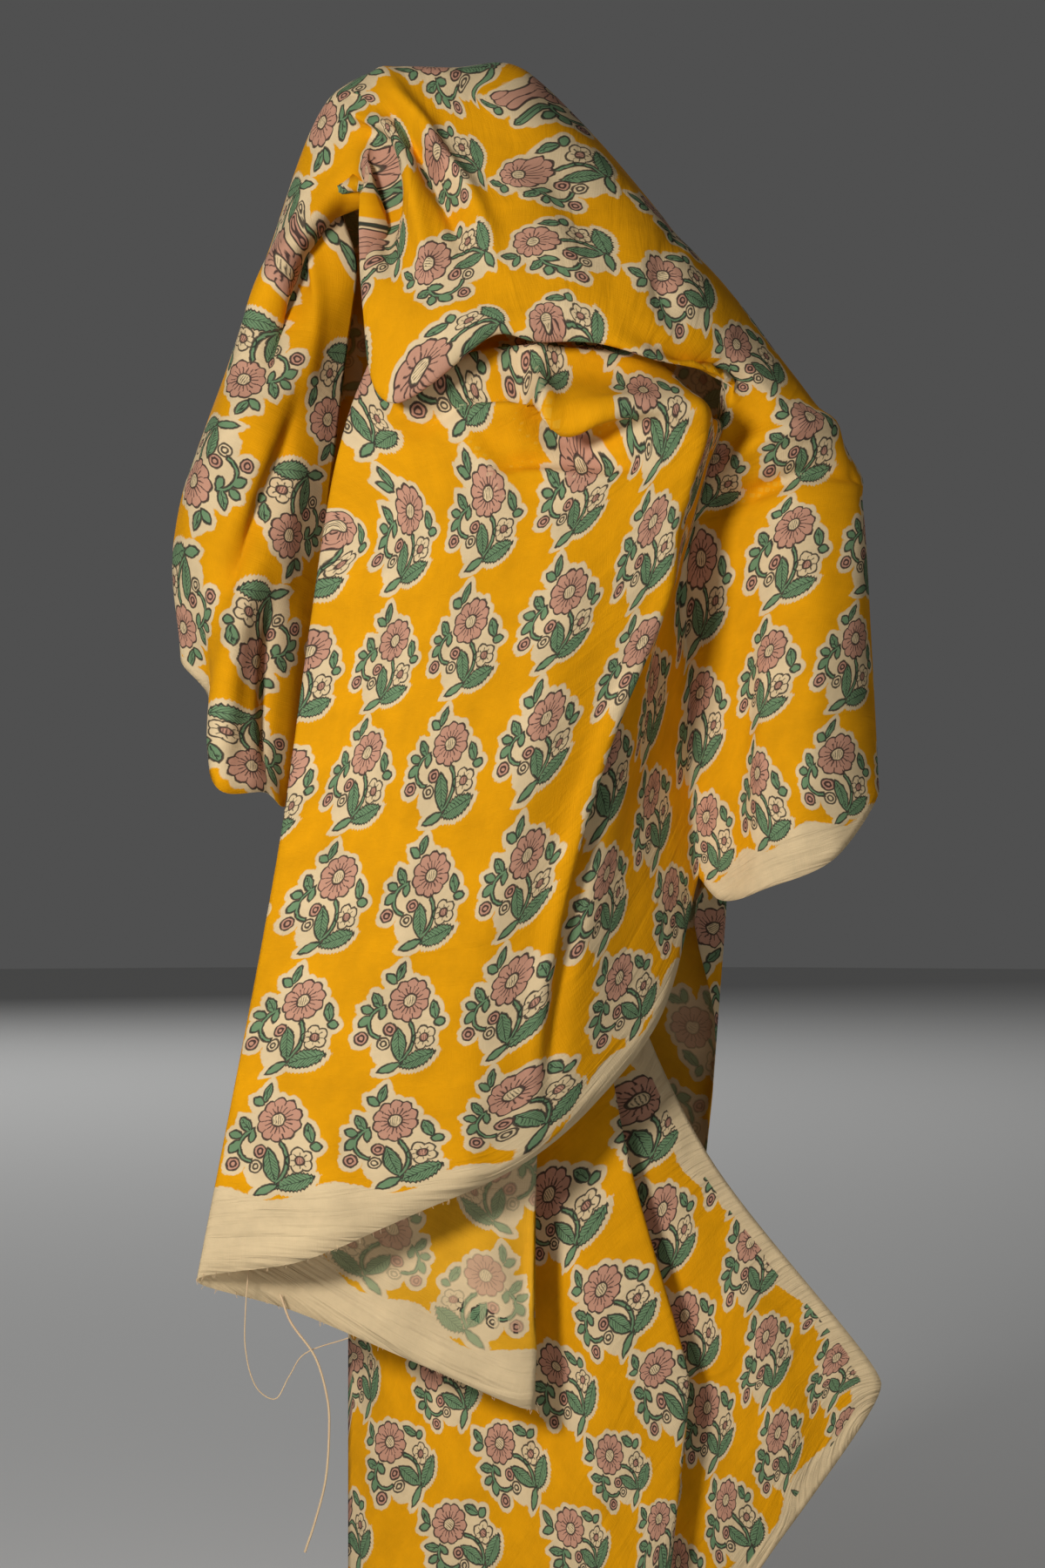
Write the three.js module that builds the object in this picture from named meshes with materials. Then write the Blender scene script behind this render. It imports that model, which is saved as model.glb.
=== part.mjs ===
// A length of hand block printed cotton, hung from one point under its top.
// Millimetres, +Z up, the front of the hanging cloth looks along -Y.
// The origin is the top of the cloth, where something inside it holds it up.
// Every point of the tables is [across, up, back]: where it shows from the front, on the
// plane y = 0, and its depth, by which it moves back along the line of sight.
import * as THREE from "three";

const sheetThickness = 2.4;
const eye = { across: 40, up: -411, distance: 2125 };
const sharpCorner = 0.35;
const chordPower = 0.75;
const shortestStep = 2;
const facing = { none: 0.05, full: 0.4 };
const creaseEnd = 0.1;

// Hood: the lines run along the cloth from its hem on the right, over the crown, to its hem on the left.
// rise: hem, calf, knee, elbow, neck, shoulder; crown: brow, crown, temple, front;
// fall: peak, nape, hip, left hem.
const hoodLines = [
  { line: "tucked edge",
    rise: [[140, -464, 42], [134, -386, 34], [130, -290, 22], [142, -236, 12], [152, -201, 3], [150, -172, -12]],
    crown: [[112, -158, -46], [62, -144, -56], [4, -150, -56], [-26, -138, -42]],
    fall: [[-42, -60, 6], [-56, -130, 38], [-74, -270, 48], [-92, -420, 34]] },
  { line: "valley and lip",
    rise: [[141, -464, 30], [137, -386, 24], [134, -290, 10], [146, -232, -6], [155, -204, -14], [157, -180, -30]],
    crown: [[119, -168, -64], [65, -157, -76], [-12, -173, -84], [-45, -166, -72]],
    fall: [[-53, -72, -24], [-66, -120, 24], [-86, -268, 30], [-98, -424, 14]] },
  { line: "above the lip",
    rise: [[154, -478, 20], [149, -386, 14], [148, -281, 2], [157, -230, -8], [164, -205, -14], [164, -184, -26]],
    crown: [[128, -154, -59], [72, -140, -80], [0, -150, -88], [-48, -122, -64]],
    fall: [[-54, -52, -18], [-72, -111, 14], [-96, -261, 16], [-106, -416, 0]] },
  { line: "brow",
    rise: [[180, -471, -5], [179, -356, -15], [192, -281, -15], [200, -230, -15], [190, -200, -17], [176, -176, -23]],
    crown: [[132, -123, -48], [65, -103, -72], [2, -116, -76], [-36, -92, -50]],
    fall: [[-50, -34, -5], [-90, -106, 10], [-120, -261, 4], [-135, -413, -8]] },
  { line: "upper brow",
    rise: [[220, -453, -10], [227, -341, -10], [232, -275, 0], [229, -236, 5], [212, -202, 5], [190, -171, 4]],
    crown: [[140, -111, -12], [56, -63, -48], [0, -67, -50], [-32, -46, -35]],
    fall: [[-58, -18, 0], [-105, -116, 20], [-146, -261, 18], [-137, -366, 18]] },
  { line: "right side",
    rise: [[244, -413, 20], [240, -341, 30], [235, -281, 35], [228, -241, 40], [212, -206, 42], [190, -174, 42]],
    crown: [[135, -104, 35], [50, -25, -18], [-6, -16, -20], [-40, -11, -12]],
    fall: [[-74, -23, 15], [-110, -121, 40], [-158, -261, 42], [-156, -340, 38]] },
  { line: "top",
    rise: [[200, -436, 58], [212, -351, 66], [215, -286, 74], [205, -241, 78], [190, -208, 80], [170, -174, 80]],
    crown: [[118, -91, 68], [45, -4, 12], [0, 0, 0], [-45, -2, 8]],
    fall: [[-76, -30, 35], [-114, -136, 65], [-152, -261, 66], [-145, -328, 62]] },
  { line: "upper back",
    rise: [[140, -478, 76], [160, -396, 86], [170, -316, 94], [165, -261, 97], [153, -221, 98], [134, -182, 96]],
    crown: [[95, -86, 82], [35, -14, 46], [-5, -9, 40], [-45, -14, 42]],
    fall: [[-75, -42, 60], [-110, -151, 85], [-140, -256, 88], [-128, -311, 82]] },
  { line: "back fold",
    rise: [[151, -561, 84], [158, -456, 92], [158, -356, 98], [145, -281, 101], [132, -236, 102], [113, -192, 100]],
    crown: [[76, -98, 86], [28, -30, 62], [-12, -22, 58], [-46, -26, 58]],
    fall: [[-74, -55, 70], [-106, -160, 92], [-130, -250, 96], [-118, -302, 90]] },
  { line: "back",
    rise: [[125, -711, 92], [130, -581, 97], [128, -451, 100], [115, -346, 102], [104, -276, 102], [88, -208, 100]],
    crown: [[60, -111, 90], [20, -46, 75], [-15, -36, 72], [-46, -42, 72]],
    fall: [[-70, -71, 80], [-100, -171, 98], [-115, -241, 100], [-105, -291, 95]] },
  { line: "lower back",
    rise: [[20, -868, 88], [32, -711, 95], [40, -561, 98], [40, -431, 100], [32, -341, 102], [18, -261, 102]],
    crown: [[0, -176, 98], [-20, -126, 92], [-35, -106, 90], [-50, -106, 90]],
    fall: [[-66, -126, 92], [-82, -176, 98], [-96, -231, 100], [-94, -281, 95]] },
  { line: "rear fold",
    rise: [[-60, -868, 60], [-60, -736, 60], [-60, -586, 60], [-64, -461, 60], [-74, -381, 62], [-80, -321, 64]],
    crown: [[-84, -286, 66], [-86, -251, 66], [-86, -231, 66], [-86, -215, 66]],
    fall: [[-86, -205, 68], [-88, -215, 70], [-90, -246, 72], [-90, -271, 74]] },
];
const hoodAcross = [3, 2, 2, 3, 3, 3, 2, 2, 2, 3, 3];
const hoodAlong = [4, 4, 3, 2, 2, 3, 3, 4, 3, 4, 4, 4, 3];

// Front panel: the lines run up the cloth from its front hem, through the roll below the lip, and end inside.
// rise: hem, calf, knee, elbow, neck; roll: front of the roll, tuck, end.
const panelLines = [
  { line: "valley",
    rise: [[141, -464, 30], [137, -386, 24], [134, -290, 10], [146, -232, -6], [155, -204, -14]],
    roll: [[136, -199, -32], [121, -183, -22], [108, -160, -8]] },
  { line: "back of the ridge",
    rise: [[120, -543, -10], [112, -401, -12], [130, -291, -18], [143, -234, -30], [150, -206, -38]],
    roll: [[144, -198, -46], [126, -182, -30], [108, -158, -14]] },
  { line: "side of the ridge",
    rise: [[80, -596, -42], [92, -441, -42], [124, -301, -42], [139, -236, -46], [147, -208, -54]],
    roll: [[146, -193, -62], [126, -178, -38], [104, -150, -20]] },
  { line: "ridge",
    rise: [[42, -628, -66], [72, -441, -64], [115, -316, -60], [133, -241, -60], [141, -211, -66]],
    roll: [[138, -192, -76], [116, -176, -44], [98, -145, -26]] },
  { line: "right of the middle",
    rise: [[-20, -657, -82], [12, -441, -82], [46, -316, -78], [64, -248, -66], [72, -215, -64]],
    roll: [[74, -192, -80], [72, -170, -46], [72, -135, -30]] },
  { line: "left of the middle",
    rise: [[-87, -685, -84], [-50, -456, -84], [-28, -321, -80], [-16, -246, -68], [-6, -208, -60]],
    roll: [[3, -186, -62], [5, -166, -42], [5, -130, -26]] },
  { line: "left edge",
    rise: [[-147, -696, -68], [-102, -461, -64], [-82, -321, -56], [-70, -241, -50], [-60, -200, -46]],
    roll: [[-50, -174, -40], [-42, -156, -28], [-32, -130, -10]] },
  { line: "under the left edge",
    rise: [[-90, -714, -46], [-52, -456, -44], [-38, -321, -38], [-28, -241, -34], [-20, -204, -30]],
    roll: [[-10, -178, -22], [0, -158, -12], [0, -130, 2]] },
  { line: "under the middle",
    rise: [[-10, -748, -40], [5, -480, -38], [12, -340, -36], [20, -250, -30], [26, -205, -24]],
    roll: [[30, -177, -14], [30, -158, -2], [30, -130, 10]] },
  { line: "under fold",
    rise: [[47, -770, -34], [50, -500, -34], [56, -350, -30], [62, -255, -24], [64, -206, -16]],
    roll: [[60, -176, -4], [55, -158, 6], [50, -130, 16]] },
  { line: "cut end",
    rise: [[20, -735, -18], [25, -490, -18], [30, -345, -18], [40, -255, -12], [45, -206, -4]],
    roll: [[45, -176, 8], [40, -158, 16], [40, -130, 26]] },
];
const panelAcross = [2, 2, 2, 3, 3, 3, 3, 3, 3, 2];
const panelRollAlong = [2, 2, 2];

// Tail: the lines run up the part of the cloth that hangs lowest, from its rear fold forward and to the right.
// rise: hem, calf, knee, elbow, neck.
const tailLines = [
  { line: "rear fold", rise: [[-60, -868, 60], [-60, -736, 60], [-60, -586, 60], [-64, -461, 60], [-74, -381, 62]] },
  { line: "left", rise: [[-36, -868, 24], [-32, -740, 22], [-38, -600, 22], [-58, -475, 26], [-74, -381, 28]] },
  { line: "middle", rise: [[48, -868, 8], [42, -745, 6], [25, -612, 8], [8, -485, 12], [-12, -381, 14]] },
  { line: "pleat edge", rise: [[122, -868, 4], [134, -752, -2], [98, -620, 2], [78, -500, 20], [58, -381, 32]] },
  { line: "pleat inside", rise: [[124, -870, 28], [126, -752, 24], [94, -624, 22], [72, -500, 34], [56, -381, 42]] },
  { line: "right", rise: [[148, -868, 34], [182, -754, 26], [118, -630, 24], [84, -500, 40], [62, -381, 50]] },
  { line: "bias edge", rise: [[172, -868, 42], [246, -755, 32], [146, -623, 38], [92, -500, 50], [66, -381, 58]] },
];
const tailAcross = [3, 3, 4, 2, 2, 3];

// Main creases, each along a path that shows from the front: a ridge rises out of the cloth, a furrow sinks.
const creases = [
  { name: "rope ridge", sheet: "hood", path: [[-60, -16], [-24, -44], [-10, -76], [8, -130]], width: 9, rise: 8 },
  { name: "rope furrow", sheet: "hood", path: [[-46, -50], [-28, -84], [-22, -130]], width: 8, rise: -6 },
  { name: "second ridge", sheet: "hood", path: [[-38, -4], [-12, -34], [6, -66], [24, -120]], width: 8, rise: 6 },
  { name: "elbow crease", sheet: "hood", path: [[236, -232], [205, -246], [150, -262]], width: 9, rise: -6 },
  { name: "shoulder ridge", sheet: "hood", path: [[214, -190], [180, -204], [160, -222]], width: 9, rise: 5 },
  { name: "left pleat", sheet: "hood", path: [[-118, -300], [-128, -350], [-134, -410]], width: 9, rise: 8 },
  { name: "left furrow", sheet: "hood", path: [[-104, -290], [-108, -350], [-112, -405]], width: 8, rise: -7 },
  { name: "chest furrow", sheet: "panel", path: [[42, -186], [62, -212], [92, -226], [128, -216]], width: 9, rise: -7 },
  { name: "swirl", sheet: "panel", path: [[40, -176], [50, -196], [70, -208], [104, -210]], width: 7, rise: 6 },
  { name: "panel drag", sheet: "panel", path: [[70, -240], [60, -330], [30, -450], [0, -560]], width: 22, rise: 4 },
  { name: "tail swell", sheet: "tail", path: [[70, -868], [84, -740], [64, -640]], width: 22, rise: 7 },
];

// Moves a table point back along the line of sight to its depth.
function placed([across, up, back]) {
  const scale = 1 + back / eye.distance;
  return new THREE.Vector3(eye.across + (across - eye.across) * scale, back, eye.up + (up - eye.up) * scale);
}

// Smooth curve through each list of points side by side, with pieces[i] steps from row i to row i + 1.
function smoothed(rows, pieces, softness = rows.map(() => 1)) {
  const at = [0];
  for (let i = 1; i < rows.length; i++) {
    const steps = rows[i].map((point, j) => point.distanceTo(rows[i - 1][j]));
    const mean = steps.reduce((sum, step) => sum + step, 0) / steps.length;
    at.push(at[i - 1] + Math.max(mean, shortestStep) ** chordPower);
  }
  const last = rows.length - 1;
  const slope = (i, j) => {
    const before = Math.max(i - 1, 0);
    const after = Math.min(i + 1, last);
    const run = rows[after][j].clone().sub(rows[before][j]);
    return run.multiplyScalar(softness[i] / (at[after] - at[before]));
  };
  const result = [];
  for (let i = 0; i < last; i++) {
    const span = at[i + 1] - at[i];
    for (let step = 0; step < pieces[i]; step++) {
      const t = step / pieces[i];
      const start = 2 * t ** 3 - 3 * t ** 2 + 1;
      const leave = t ** 3 - 2 * t ** 2 + t;
      const arrive = t ** 3 - t ** 2;
      result.push(rows[i].map((point, j) => point.clone().multiplyScalar(start)
        .addScaledVector(slope(i, j), leave * span)
        .addScaledVector(rows[i + 1][j], 1 - start)
        .addScaledVector(slope(i + 1, j), arrive * span)));
    }
  }
  result.push(rows[last].map((point) => point.clone()));
  return result;
}

function turned(rows) {
  return rows[0].map((_, j) => rows.map((row) => row[j]));
}

function sheet(lines, across, along, softness) {
  const net = lines.map(({ rise, crown = [], fall = [], roll = [] }) => [...rise, ...crown, ...fall, ...roll].map(placed));
  return turned(smoothed(turned(smoothed(net, across)), along, softness));
}

function sum(numbers) {
  return numbers.reduce((total, number) => total + number, 0);
}

// How far along and beside a crease's path a seen point lies.
function besidePath(path, across, up) {
  let nearest = { distance: Infinity, share: 0 };
  for (let i = 1; i < path.length; i++) {
    const [x0, z0] = path[i - 1];
    const [x1, z1] = path[i];
    const square = (x1 - x0) ** 2 + (z1 - z0) ** 2;
    const t = THREE.MathUtils.clamp(((across - x0) * (x1 - x0) + (up - z0) * (z1 - z0)) / square, 0, 1);
    const distance = Math.hypot(across - x0 - t * (x1 - x0), up - z0 - t * (z1 - z0));
    if (distance < nearest.distance) {
      nearest = { distance, share: (i - 1 + t) / (path.length - 1) };
    }
  }
  return nearest;
}

// Raises or sinks the creases of one sheet along its normals, fading out at both ends of each.
function creased(grid, sheetName, outward) {
  const result = grid.map((row) => row.map((point) => point.clone()));
  for (let i = 0; i < grid.length; i++) {
    for (let j = 0; j < grid[0].length; j++) {
      const alongLine = grid[i][Math.min(j + 1, grid[0].length - 1)].clone().sub(grid[i][Math.max(j - 1, 0)]);
      const acrossLines = grid[Math.min(i + 1, grid.length - 1)][j].clone().sub(grid[Math.max(i - 1, 0)][j]);
      const normal = acrossLines.cross(alongLine).normalize().multiplyScalar(outward);
      const seen = THREE.MathUtils.smoothstep(-normal.y, facing.none, facing.full);
      const { x, y, z } = grid[i][j];
      const scale = 1 + y / eye.distance;
      const across = eye.across + (x - eye.across) / scale;
      const up = eye.up + (z - eye.up) / scale;
      for (const { path, width, rise } of creases.filter((crease) => crease.sheet === sheetName)) {
        const { distance, share } = besidePath(path, across, up);
        const fade = Math.sin(Math.PI * THREE.MathUtils.lerp(creaseEnd, 1 - creaseEnd, share));
        result[i][j].addScaledVector(normal, rise * fade * seen * Math.exp(-((distance / width) ** 2)));
      }
    }
  }
  return result;
}

// One closed body: the faces of all grids, a half thickness to each side, and a rim along every free edge.
function thickened(grids, thickness) {
  const points = [];
  const numbers = new Map();
  const numberOf = (point) => {
    const key = point.toArray().map((value) => Math.round(value * 1000)).join();
    if (!numbers.has(key)) {
      numbers.set(key, points.length);
      points.push(point);
    }
    return numbers.get(key);
  };
  const triangles = [];
  for (const { grid, outward, has = () => true } of grids) {
    for (let i = 0; i < grid.length - 1; i++) {
      for (let j = 0; j < grid[0].length - 1; j++) {
        if (has(i, j)) {
          const [a, b, c, d] = [grid[i][j], grid[i + 1][j], grid[i + 1][j + 1], grid[i][j + 1]].map(numberOf);
          const shortWay = points[a].distanceTo(points[c]) < points[b].distanceTo(points[d]);
          const halves = shortWay ? [[a, b, c], [a, c, d]] : [[a, b, d], [b, c, d]];
          triangles.push(...(outward > 0 ? halves : halves.map((half) => half.toReversed())));
        }
      }
    }
  }
  const normals = points.map(() => new THREE.Vector3());
  const edges = new Set();
  for (const [a, b, c] of triangles) {
    const face = points[b].clone().sub(points[a]).cross(points[c].clone().sub(points[a]));
    for (const number of [a, b, c]) {
      normals[number].add(face);
    }
    for (const edge of [[a, b], [b, c], [c, a]]) {
      edges.add(edge.join());
    }
  }
  const positions = [];
  for (const side of [1, -1]) {
    points.forEach((point, number) => {
      positions.push(...point.clone().addScaledVector(normals[number].normalize(), side * thickness / 2).toArray());
    });
  }
  const inner = points.length;
  const index = triangles.flatMap(([a, b, c]) => [a, b, c, inner + c, inner + b, inner + a]);
  for (const edge of edges) {
    const [a, b] = edge.split(",").map(Number);
    if (!edges.has(`${b},${a}`)) {
      index.push(b, a, inner + a, b, inner + a, inner + b);
    }
  }
  const geometry = new THREE.BufferGeometry();
  geometry.setAttribute("position", new THREE.Float32BufferAttribute(positions, 3));
  geometry.setIndex(index);
  geometry.computeVertexNormals();
  return geometry;
}

const hoodOutward = 1;
const panelOutward = -1;
const lipRow = hoodAcross[0];
const slitStart = sum(hoodAlong.slice(0, 4));
const panelAlong = [...hoodAlong.slice(0, 4), ...panelRollAlong];
const tailAlong = hoodAlong.slice(0, 4);

const hood = creased(sheet(hoodLines, hoodAcross, hoodAlong), "hood", hoodOutward);
const panel = creased(sheet(panelLines, panelAcross, panelAlong), "panel", panelOutward);
const tail = creased(sheet(tailLines, tailAcross, tailAlong, [1, sharpCorner, 1, 1, 1]), "tail", hoodOutward);
for (let j = 0; j <= slitStart; j++) {
  panel[0][j] = hood[lipRow][j];
  tail[0][j] = hood.at(-1)[j];
}

const cotton = new THREE.MeshStandardMaterial({ color: 0xd8991c, roughness: 0.9, metalness: 0 });
const cloth = new THREE.Mesh(thickened([
  { grid: hood, outward: hoodOutward, has: (i, j) => i >= lipRow || j >= slitStart },
  { grid: panel, outward: panelOutward },
  { grid: tail, outward: hoodOutward },
], sheetThickness), cotton);
cloth.name = "cotton_length";

const hangingCloth = new THREE.Group();
hangingCloth.add(cloth);

export default hangingCloth;
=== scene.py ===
import math
from functools import reduce

import bmesh
import bpy
import numpy as np
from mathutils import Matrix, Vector


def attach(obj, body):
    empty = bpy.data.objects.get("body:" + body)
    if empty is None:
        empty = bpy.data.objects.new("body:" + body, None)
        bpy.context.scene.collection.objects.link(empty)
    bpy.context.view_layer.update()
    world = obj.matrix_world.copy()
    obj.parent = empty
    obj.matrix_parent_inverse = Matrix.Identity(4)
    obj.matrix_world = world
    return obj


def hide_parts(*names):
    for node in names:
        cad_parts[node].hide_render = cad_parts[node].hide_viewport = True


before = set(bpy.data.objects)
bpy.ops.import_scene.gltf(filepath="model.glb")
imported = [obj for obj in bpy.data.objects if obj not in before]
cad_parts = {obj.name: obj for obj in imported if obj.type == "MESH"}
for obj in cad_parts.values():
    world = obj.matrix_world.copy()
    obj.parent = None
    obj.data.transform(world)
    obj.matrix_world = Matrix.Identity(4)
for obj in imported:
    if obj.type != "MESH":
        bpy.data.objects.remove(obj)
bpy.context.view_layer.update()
mm = 0.001

# Camera: level and straight on to the cloth, at the distance where the frame is 0.9 m high at the cloth.
# What shows of the cloth fills nearly all of that height.
eye_across, eye_up, eye_distance = 40, -411, 2125


def linked(name, data):
    """A new object in the scene."""
    made = bpy.data.objects.new(name, data)
    bpy.context.collection.objects.link(made)
    return made


camera = linked("camera", bpy.data.cameras.new("camera"))
camera.location = (eye_across * mm, -eye_distance * mm, eye_up * mm)
camera.rotation_euler = (math.pi / 2, 0, 0)
camera.data.lens = 85
camera.data.sensor_width = 36
camera.data.dof.use_dof = False
bpy.context.scene.camera = camera

# Cloth: one length of plain woven cotton, held from inside at its top. The hood falls over the top with a
# rolled lip in front. The lines run along the cloth, from its hem on the right over the crown to its hem on
# the left. Every point is [across, up, back] in millimetres as it shows from the front, and its depth.
hood_lines = {
    "tucked edge": [
        [140, -464, 42], [134, -386, 34], [130, -290, 22], [142, -236, 12], [152, -201, 3],
        [150, -172, -12], [112, -158, -46], [62, -144, -56], [4, -150, -56], [-26, -138, -42],
        [-42, -60, 6], [-56, -130, 38], [-74, -270, 48], [-92, -420, 34]],
    "valley and lip": [
        [141, -464, 30], [137, -386, 24], [134, -290, 10], [146, -232, -6], [155, -204, -14],
        [157, -180, -30], [119, -168, -64], [65, -157, -76], [-12, -173, -84], [-45, -166, -72],
        [-53, -72, -24], [-66, -120, 24], [-86, -268, 30], [-98, -424, 14]],
    "above the lip": [
        [154, -478, 20], [149, -386, 14], [148, -281, 2], [157, -230, -8], [164, -205, -14],
        [164, -184, -26], [128, -154, -59], [72, -140, -80], [0, -150, -88], [-48, -122, -64],
        [-54, -52, -18], [-72, -111, 14], [-96, -261, 16], [-106, -416, 0]],
    "brow": [
        [180, -471, -5], [179, -356, -15], [192, -281, -15], [200, -230, -15], [190, -200, -17],
        [176, -176, -23], [132, -123, -48], [65, -103, -72], [2, -116, -76], [-36, -92, -50],
        [-50, -34, -5], [-90, -106, 10], [-120, -261, 4], [-135, -413, -8]],
    "upper brow": [
        [220, -453, -10], [227, -341, -10], [232, -275, 0], [229, -236, 5], [212, -202, 5],
        [190, -171, 4], [140, -111, -12], [56, -63, -48], [0, -67, -50], [-32, -46, -35],
        [-58, -18, 0], [-105, -116, 20], [-146, -261, 18], [-137, -366, 18]],
    "right side": [
        [244, -413, 20], [240, -341, 30], [235, -281, 35], [228, -241, 40], [212, -206, 42],
        [190, -174, 42], [135, -104, 35], [50, -25, -18], [-6, -16, -20], [-40, -11, -12],
        [-74, -23, 15], [-110, -121, 40], [-158, -261, 42], [-156, -340, 38]],
    "top": [
        [200, -436, 58], [212, -351, 66], [215, -286, 74], [205, -241, 78], [190, -208, 80],
        [170, -174, 80], [118, -91, 68], [45, -4, 12], [0, 0, 0], [-45, -2, 8],
        [-76, -30, 35], [-114, -136, 65], [-152, -261, 66], [-145, -328, 62]],
    "upper back": [
        [140, -478, 76], [160, -396, 86], [170, -316, 94], [165, -261, 97], [153, -221, 98],
        [134, -182, 96], [95, -86, 82], [35, -14, 46], [-5, -9, 40], [-45, -14, 42],
        [-75, -42, 60], [-110, -151, 85], [-140, -256, 88], [-128, -311, 82]],
    "back fold": [
        [151, -561, 84], [158, -456, 92], [158, -356, 98], [145, -281, 101], [132, -236, 102],
        [113, -192, 100], [76, -98, 86], [28, -30, 62], [-12, -22, 58], [-46, -26, 58],
        [-74, -55, 70], [-106, -160, 92], [-130, -250, 96], [-118, -302, 90]],
    "back": [
        [125, -711, 92], [130, -581, 97], [128, -451, 100], [115, -346, 102], [104, -276, 102],
        [88, -208, 100], [60, -111, 90], [20, -46, 75], [-15, -36, 72], [-46, -42, 72],
        [-70, -71, 80], [-100, -171, 98], [-115, -241, 100], [-105, -291, 95]],
    "lower back": [
        [20, -868, 88], [32, -711, 95], [40, -561, 98], [40, -431, 100], [32, -341, 102],
        [18, -261, 102], [0, -176, 98], [-20, -126, 92], [-35, -106, 90], [-50, -106, 90],
        [-66, -126, 92], [-82, -176, 98], [-96, -231, 100], [-94, -281, 95]],
    "rear fold": [
        [-60, -868, 60], [-60, -736, 60], [-60, -586, 60], [-64, -461, 60], [-74, -381, 62],
        [-80, -321, 64], [-84, -286, 66], [-86, -251, 66], [-86, -231, 66], [-86, -215, 66],
        [-86, -205, 68], [-88, -215, 70], [-90, -246, 72], [-90, -271, 74]],
}
hood_across = [9, 8, 12, 18, 18, 14, 7, 5, 5, 7, 7]
hood_along = [16, 18, 13, 10, 9, 15, 15, 18, 14, 18, 24, 30, 20]

# The panel and the tail join the hood from its front hem up to this point of its lines.
slit_station = 4

# The front panel hangs from the valley to the left. Its lines run up the cloth from its front hem, through
# the roll below the lip, and end inside. It turns under at its left edge, and a fold of it shows below.
panel_lines = {
    "valley": [
        *hood_lines["valley and lip"][:slit_station + 1],
        [136, -199, -32], [121, -183, -22], [108, -160, -8]],
    "back of the ridge": [
        [120, -543, -10], [112, -401, -12], [130, -291, -18], [143, -234, -30], [150, -206, -38],
        [144, -198, -46], [126, -182, -30], [108, -158, -14]],
    "side of the ridge": [
        [80, -596, -42], [92, -441, -42], [124, -301, -42], [139, -236, -46], [147, -208, -54],
        [146, -193, -62], [126, -178, -38], [104, -150, -20]],
    "ridge": [
        [42, -628, -66], [72, -441, -64], [115, -316, -60], [133, -241, -60], [141, -211, -66],
        [138, -192, -76], [116, -176, -44], [98, -145, -26]],
    "right of the middle": [
        [-20, -657, -82], [12, -441, -82], [46, -316, -78], [64, -248, -66], [72, -215, -64],
        [74, -192, -80], [72, -170, -46], [72, -135, -30]],
    "left of the middle": [
        [-87, -685, -84], [-50, -456, -84], [-28, -321, -80], [-16, -246, -68], [-6, -208, -60],
        [3, -186, -62], [5, -166, -42], [5, -130, -26]],
    "left edge": [
        [-147, -696, -68], [-102, -461, -64], [-82, -321, -56], [-70, -241, -50], [-60, -200, -46],
        [-50, -174, -40], [-42, -156, -28], [-32, -130, -10]],
    "under the left edge": [
        [-90, -714, -46], [-52, -456, -44], [-38, -321, -38], [-28, -241, -34], [-20, -204, -30],
        [-10, -178, -22], [0, -158, -12], [0, -130, 2]],
    "under the middle": [
        [-10, -748, -40], [5, -480, -38], [12, -340, -36], [20, -250, -30], [26, -205, -24],
        [30, -177, -14], [30, -158, -2], [30, -130, 10]],
    "under fold": [
        [47, -770, -34], [50, -500, -34], [56, -350, -30], [62, -255, -24], [64, -206, -16],
        [60, -176, -4], [55, -158, 6], [50, -130, 16]],
    "cut end": [
        [20, -735, -18], [25, -490, -18], [30, -345, -18], [40, -255, -12], [45, -206, -4],
        [45, -176, 8], [40, -158, 16], [40, -130, 26]],
}
panel_across = [9, 12, 9, 15, 15, 14, 8, 10, 8, 5]
panel_along = [*hood_along[:slit_station], 8, 8, 6]

# The tail is the part that hangs lowest, from the fold at the back forward and to the right, with one pleat.
tail_lines = {
    "rear fold": hood_lines["rear fold"][:slit_station + 1],
    "left": [[-36, -868, 24], [-32, -740, 22], [-38, -600, 22], [-58, -475, 26], [-74, -381, 28]],
    "middle": [[48, -868, 8], [42, -745, 6], [25, -612, 8], [8, -485, 12], [-12, -381, 14]],
    "pleat edge": [[122, -868, 4], [134, -752, -2], [98, -620, 2], [78, -500, 20], [58, -381, 32]],
    "pleat inside": [[124, -870, 28], [126, -752, 24], [94, -624, 22], [72, -500, 34], [56, -381, 42]],
    "right": [[148, -868, 34], [182, -754, 26], [118, -630, 24], [84, -500, 40], [62, -381, 50]],
    "bias edge": [[172, -868, 42], [246, -755, 32], [146, -623, 38], [92, -500, 50], [66, -381, 58]],
}
tail_across = [10, 18, 18, 7, 8, 12]
tail_along = hood_along[:slit_station]
tail_softness = [1, 0.35, 1, 1, 1]


def placed(point):
    """A table point moved back along the line of sight to its depth."""
    across, up, back = point
    scale = 1 + back / eye_distance
    return [eye_across + (across - eye_across) * scale, back, eye_up + (up - eye_up) * scale]


def as_seen(points):
    """Where points show from the front, across and up: the reverse of placed."""
    scale = 1 + points[:, 1] / eye_distance
    return np.stack([eye_across + (points[:, 0] - eye_across) / scale,
                     eye_up + (points[:, 2] - eye_up) / scale], axis=1)


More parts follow.
